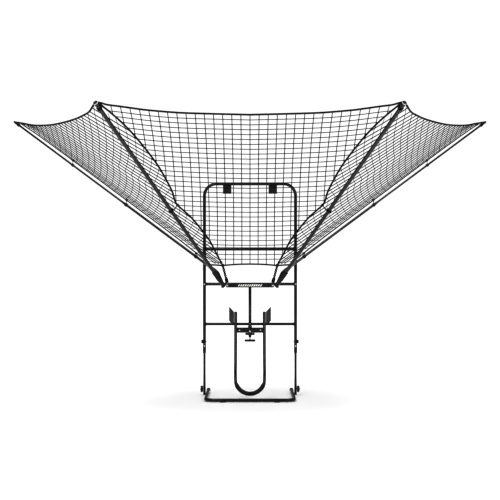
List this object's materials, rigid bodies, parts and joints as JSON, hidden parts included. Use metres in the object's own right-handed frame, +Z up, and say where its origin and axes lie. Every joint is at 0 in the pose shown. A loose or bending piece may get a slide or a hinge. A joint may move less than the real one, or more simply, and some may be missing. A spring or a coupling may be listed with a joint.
{
  "type": "basketball shot return net",
  "caption": "Tubular stand with a four-pole netting funnel and a swivelling two-rail chute that rolls the ball back to the shooter.",
  "frame": {"origin": "floor point under the middle of the whole object", "axes": "+Z up, -Y towards the shooter (the way the ball rolls out), +X to the right seen from the shooter"},
  "size_m": [3.9274, 2.2254, 2.1995],
  "materials": {
    "frame_paint": "gloss black powder coat",
    "pole_metal": "gloss dark grey",
    "cap_plastic": "translucent light grey",
    "hard_plastic": "moulded black",
    "guard_plastic": "moulded dark grey",
    "rubber": "matt black",
    "bolt_steel": "zinc plated",
    "netting": "twisted nylon twine",
    "rope": "braided polyester rope"
  },
  "bodies": {
    "base": {"base_tube": "frame_paint", "leg_left": "frame_paint", "leg_right": "frame_paint", "stop_collar_left": "hard_plastic", "stop_collar_right": "hard_plastic", "front_foot_left": "rubber", "front_foot_right": "rubber", "rear_foot_left": "hard_plastic", "rear_foot_right": "hard_plastic", "wheel_bolt_left": "bolt_steel", "wheel_bolt_right": "bolt_steel"},
    "chute": {"chute_rails": "frame_paint", "chute_guard_left": "guard_plastic", "chute_guard_right": "guard_plastic", "cross_plate": "frame_paint", "swivel_yoke": "frame_paint", "plunger_housing": "frame_paint", "plunger_spring": "bolt_steel"},
    "plunger": {"t_handle": "hard_plastic"},
    "knob_left": {"lock_knob_left": "hard_plastic"},
    "knob_right": {"lock_knob_right": "hard_plastic"},
    "wheel_left": {"wheel_left": "hard_plastic"},
    "wheel_right": {"wheel_right": "hard_plastic"},
    "upper_frame": {"arc_plate": "frame_paint", "arm_left": "frame_paint", "arm_right": "frame_paint", "bottom_rope": "rope", "center_post": "frame_paint", "crossbar_lower": "frame_paint", "crossbar_middle": "frame_paint", "crossbar_upper": "frame_paint", "edge_rope_left": "rope", "edge_rope_right": "rope", "front_bar": "frame_paint", "front_cap_left": "cap_plastic", "front_cap_right": "cap_plastic", "front_pole_left": "pole_metal", "front_pole_right": "pole_metal", "front_socket_left": "frame_paint", "front_socket_right": "frame_paint", "net_front": "netting", "net_side_left": "netting", "net_side_right": "netting", "pivot_pin": "bolt_steel", "rear_cap_left": "cap_plastic", "rear_cap_right": "cap_plastic", "rear_pole_lower_left": "pole_metal", "rear_pole_lower_right": "pole_metal", "rear_pole_upper_left": "pole_metal", "rear_pole_upper_right": "pole_metal", "rear_socket_left": "frame_paint", "rear_socket_right": "frame_paint", "rubber_pad_left": "rubber", "rubber_pad_right": "rubber", "seam_rope_left": "rope", "seam_rope_right": "rope", "top_loop": "frame_paint", "top_rope": "rope", "upright_left": "frame_paint", "upright_right": "frame_paint"}
  },
  "joints": [
    {"name": "height_slide", "type": "slide", "parent": "base", "child": "upper_frame", "axis": [0, 0, 1], "range_m": [0, 0.15]},
    {"name": "chute_swivel", "type": "hinge", "parent": "upper_frame", "child": "chute", "pos_m": [0, 0.4, 0.512], "axis": [0, 0, 1], "range_deg": [-25, 25]},
    {"name": "plunger_slide", "type": "slide", "parent": "chute", "child": "plunger", "axis": [0, 0, -1], "range_m": [0, 0.012], "stiffness_N_per_m": 400, "springref_m": -0.01},
    {"name": "knob_turn_left", "type": "hinge", "parent": "upper_frame", "child": "knob_left", "pos_m": [-0.3533, 0.4, 0.417], "axis": [-1, 0, 0], "continuous": true},
    {"name": "knob_turn_right", "type": "hinge", "parent": "upper_frame", "child": "knob_right", "pos_m": [0.3533, 0.4, 0.417], "axis": [1, 0, 0], "continuous": true},
    {"name": "wheel_spin_left", "type": "hinge", "parent": "base", "child": "wheel_left", "pos_m": [-0.3533, 0.4, 0.05], "axis": [-1, 0, 0], "continuous": true},
    {"name": "wheel_spin_right", "type": "hinge", "parent": "base", "child": "wheel_right", "pos_m": [0.3533, 0.4, 0.05], "axis": [1, 0, 0], "continuous": true}
  ]
}
